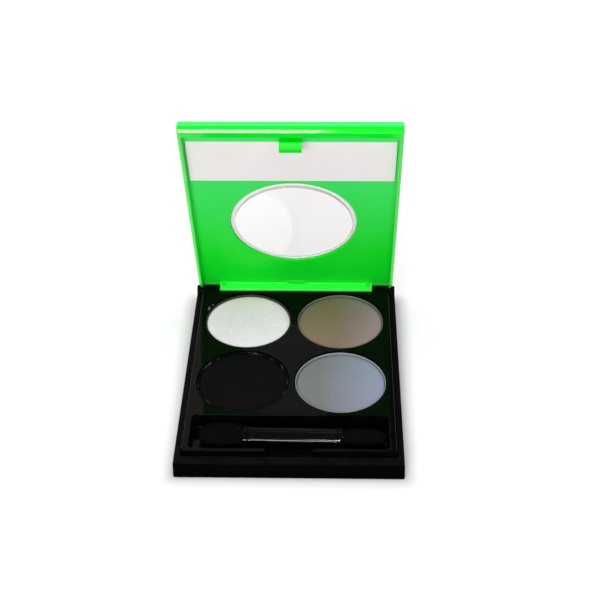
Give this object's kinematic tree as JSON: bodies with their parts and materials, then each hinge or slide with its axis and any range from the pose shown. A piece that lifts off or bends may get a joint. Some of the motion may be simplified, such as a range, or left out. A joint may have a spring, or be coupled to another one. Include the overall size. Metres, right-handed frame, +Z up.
{
  "type": "eyeshadow palette",
  "caption": "Hinged eyeshadow palette with round powder pans, a double-ended sponge applicator in a trough and a lid with a round clear window and a mirror strip.",
  "frame": {"origin": "middle of the base's underside", "axes": "+X to the right seen from the front, +Y to the hinge at the rear, +Z up"},
  "size_m": [0.064, 0.0821, 0.0806],
  "materials": {
    "gloss_black": "gloss black",
    "tin": "drawn metal",
    "powder_white": "pressed powder",
    "powder_taupe": "pressed powder, satin",
    "powder_black": "pressed powder, matt",
    "powder_silver": "pressed powder, pearl",
    "glue": "adhesive",
    "fluorescent_green": "gloss fluorescent green",
    "clear_window": "clear",
    "mirror_silver": "mirror film",
    "white_tape": "tape",
    "steel": "drawn wire",
    "satin_black": "gloss black",
    "black_sponge": "fine sponge"
  },
  "bodies": {
    "base": {"base_shell": "gloss_black", "pan_tray": "gloss_black", "pan_white": "tin", "pan_taupe": "tin", "pan_black": "tin", "pan_silver": "tin", "powder_white": "powder_white", "powder_taupe": "powder_taupe", "powder_black": "powder_black", "powder_silver": "powder_silver", "glue_white": "glue", "glue_taupe": "glue", "glue_black": "glue", "glue_silver": "glue", "hinge_pin_left": "steel", "hinge_pin_right": "steel"},
    "lid": {"lid_shell": "fluorescent_green", "window_lens": "clear_window", "mirror_strip": "mirror_silver", "mirror_tape": "white_tape"},
    "applicator": {"applicator_handle": "satin_black", "sponge_tip_left": "black_sponge", "sponge_tip_right": "black_sponge"}
  },
  "joints": [
    {"name": "lid_hinge", "type": "hinge", "parent": "base", "child": "lid", "pos_m": [0, 0.0382, 0.006], "axis": [-1, 0, 0], "range_deg": [-70.8, 34.2]},
    {"name": "applicator_lift", "type": "slide", "parent": "base", "child": "applicator", "axis": [0, 0, 1], "range_m": [0, 0.045]}
  ]
}
